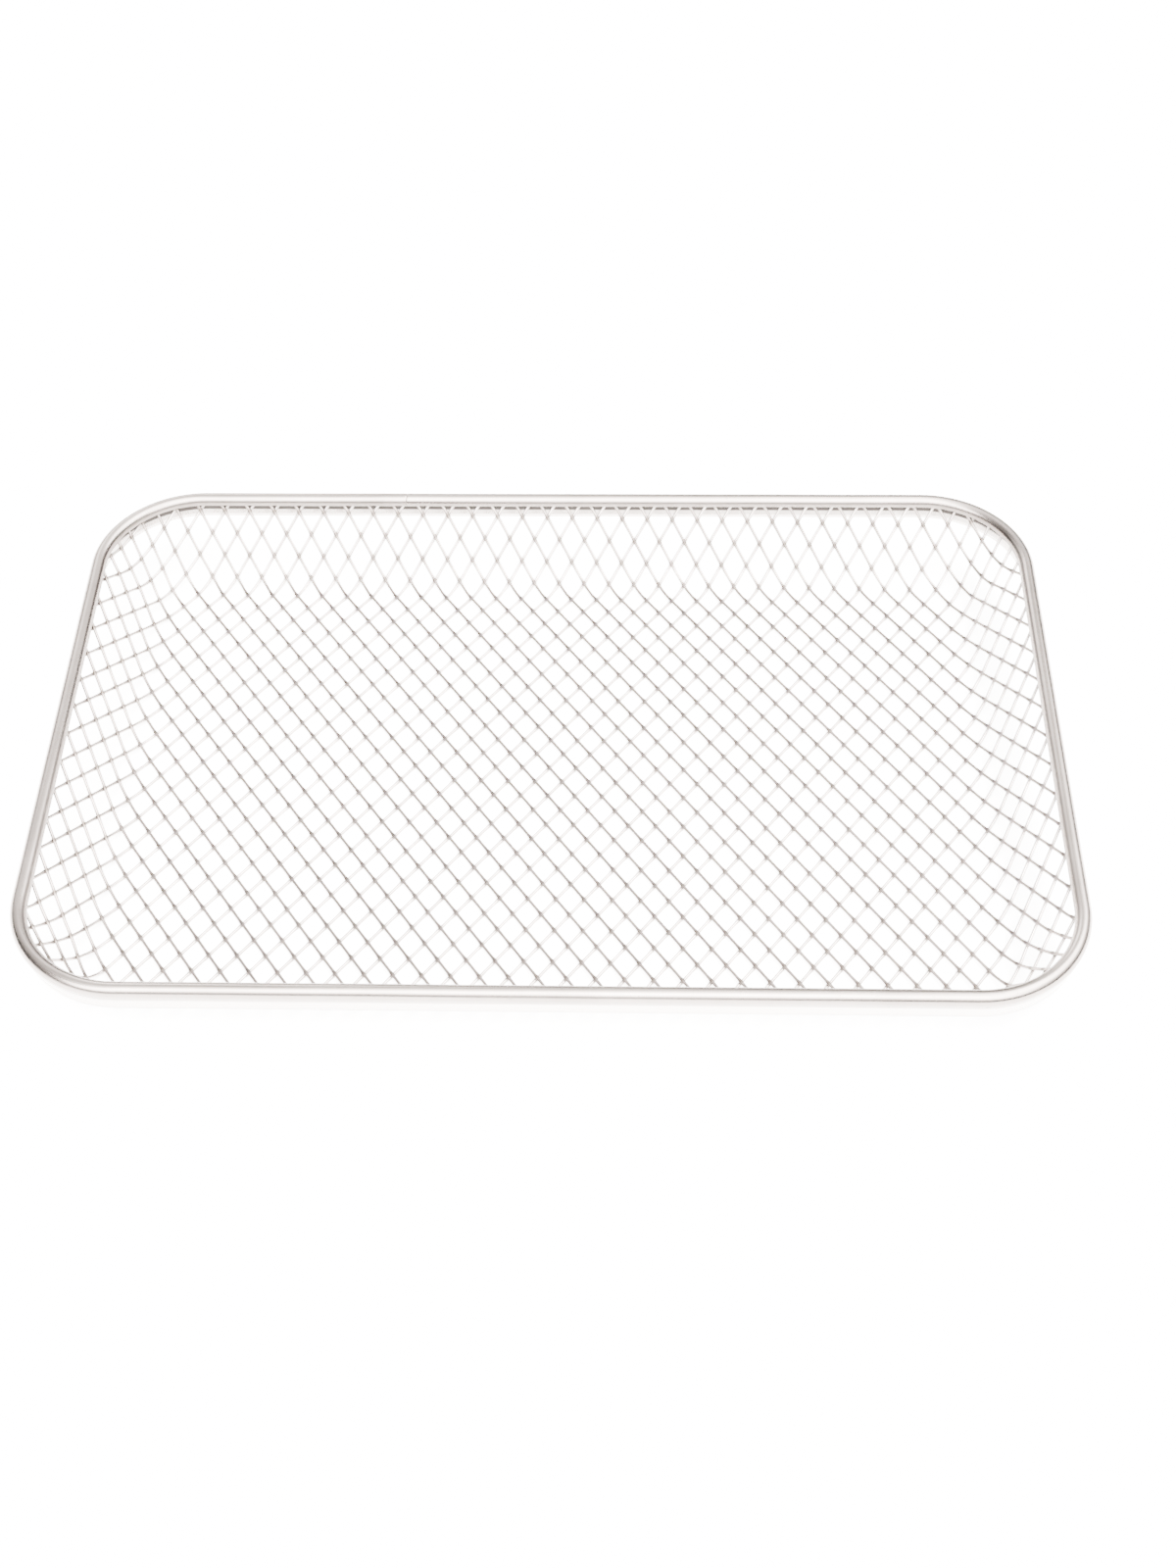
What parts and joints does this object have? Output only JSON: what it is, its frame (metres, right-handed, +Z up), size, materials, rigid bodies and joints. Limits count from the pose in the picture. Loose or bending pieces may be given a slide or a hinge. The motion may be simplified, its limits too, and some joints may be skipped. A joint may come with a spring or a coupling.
{
  "type": "mesh tray",
  "caption": "Shallow rectangular wire-mesh tray with sloping walls, large round corners and a rolled steel rim, for cooling or crisping bakes.",
  "frame": {"origin": "under the middle of the tray, on the surface it rests on", "axes": "+X along the long side, +Y along the short side, +Z up out of the open top"},
  "size_m": [0.3302, 0.2222, 0.0254],
  "materials": {
    "rim_steel": "polished, fine lines along the strip",
    "lower_wire_steel": "drawn, satin",
    "upper_wire_steel": "drawn, satin"
  },
  "bodies": {
    "root": {"rim_strip": "rim_steel", "lower_wires_01": "lower_wire_steel", "lower_wires_02": "lower_wire_steel", "lower_wires_03": "lower_wire_steel", "lower_wires_04": "lower_wire_steel", "lower_wires_05": "lower_wire_steel", "lower_wires_06": "lower_wire_steel", "lower_wires_07": "lower_wire_steel", "lower_wires_08": "lower_wire_steel", "lower_wires_09": "lower_wire_steel", "lower_wires_10": "lower_wire_steel", "lower_wires_11": "lower_wire_steel", "lower_wires_12": "lower_wire_steel", "lower_wires_13": "lower_wire_steel", "lower_wires_14": "lower_wire_steel", "lower_wires_15": "lower_wire_steel", "lower_wires_16": "lower_wire_steel", "lower_wires_17": "lower_wire_steel", "lower_wires_18": "lower_wire_steel", "lower_wires_19": "lower_wire_steel", "lower_wires_20": "lower_wire_steel", "lower_wires_21": "lower_wire_steel", "lower_wires_22": "lower_wire_steel", "lower_wires_23": "lower_wire_steel", "lower_wires_24": "lower_wire_steel", "lower_wires_25": "lower_wire_steel", "lower_wires_26": "lower_wire_steel", "upper_wires_01": "upper_wire_steel", "upper_wires_02": "upper_wire_steel", "upper_wires_03": "upper_wire_steel", "upper_wires_04": "upper_wire_steel", "upper_wires_05": "upper_wire_steel", "upper_wires_06": "upper_wire_steel", "upper_wires_07": "upper_wire_steel", "upper_wires_08": "upper_wire_steel", "upper_wires_09": "upper_wire_steel", "upper_wires_10": "upper_wire_steel", "upper_wires_11": "upper_wire_steel", "upper_wires_12": "upper_wire_steel", "upper_wires_13": "upper_wire_steel", "upper_wires_14": "upper_wire_steel", "upper_wires_15": "upper_wire_steel", "upper_wires_16": "upper_wire_steel", "upper_wires_17": "upper_wire_steel", "upper_wires_18": "upper_wire_steel", "upper_wires_19": "upper_wire_steel", "upper_wires_20": "upper_wire_steel", "upper_wires_21": "upper_wire_steel", "upper_wires_22": "upper_wire_steel", "upper_wires_23": "upper_wire_steel", "upper_wires_24": "upper_wire_steel", "upper_wires_25": "upper_wire_steel", "upper_wires_26": "upper_wire_steel"}
  },
  "joints": []
}
